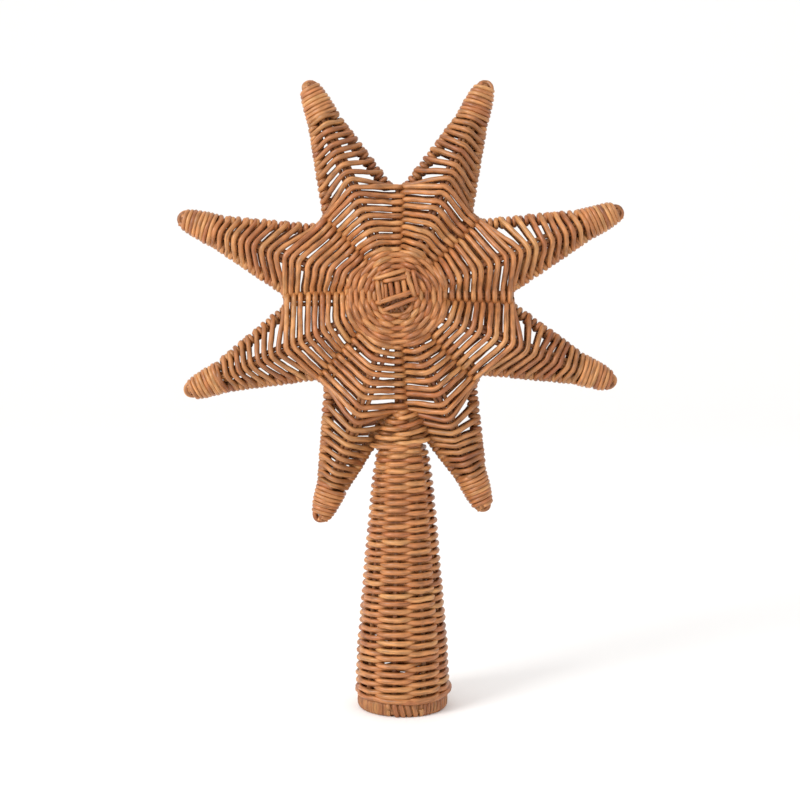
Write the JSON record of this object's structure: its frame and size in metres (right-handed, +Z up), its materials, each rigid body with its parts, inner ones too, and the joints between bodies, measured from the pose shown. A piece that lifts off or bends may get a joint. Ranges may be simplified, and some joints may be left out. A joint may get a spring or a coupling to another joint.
{
  "type": "rattan star tree topper",
  "caption": "Star of woven rattan with bound arm tips on a tapering woven socket that slips over the top shoot of a tree.",
  "frame": {"origin": "centre of the underside of the rim at the foot of the socket, where the topper stands when it is off the tree", "axes": "+Z up along the socket towards the star, the star's front looks along -Y, +X to the right as seen from the front"},
  "size_m": [0.2241, 0.0454, 0.3151],
  "materials": {
    "rattan_rod": "round rattan rods, golden to reddish brown, satin",
    "rattan_strand": "round rattan core strands, warm tan brown with strand to strand variation, satin",
    "cane_binding": "thin split cane wound tightly, light golden brown, slightly glossy"
  },
  "bodies": {
    "root": {"front_spokes": "rattan_rod", "back_spokes": "rattan_rod", "front_weave": "rattan_strand", "back_weave": "rattan_strand", "arm_edge_rod_1": "rattan_rod", "arm_weave_1": "rattan_strand", "tip_binding_1": "cane_binding", "arm_edge_rod_2": "rattan_rod", "arm_weave_2": "rattan_strand", "tip_binding_2": "cane_binding", "arm_edge_rod_3": "rattan_rod", "arm_weave_3": "rattan_strand", "tip_binding_3": "cane_binding", "arm_edge_rod_4": "rattan_rod", "arm_weave_4": "rattan_strand", "tip_binding_4": "cane_binding", "arm_edge_rod_5": "rattan_rod", "arm_weave_5": "rattan_strand", "tip_binding_5": "cane_binding", "arm_edge_rod_6": "rattan_rod", "arm_weave_6": "rattan_strand", "tip_binding_6": "cane_binding", "arm_edge_rod_7": "rattan_rod", "arm_weave_7": "rattan_strand", "tip_binding_7": "cane_binding", "arm_edge_rod_8": "rattan_rod", "arm_weave_8": "rattan_strand", "tip_binding_8": "cane_binding", "trunk_stake_1": "rattan_rod", "trunk_stake_2": "rattan_rod", "trunk_stake_3": "rattan_rod", "trunk_stake_4": "rattan_rod", "trunk_stake_5": "rattan_rod", "trunk_stake_6": "rattan_rod", "trunk_stake_7": "rattan_rod", "trunk_stake_8": "rattan_rod", "trunk_weave": "rattan_strand", "rim": "cane_binding"}
  },
  "joints": []
}
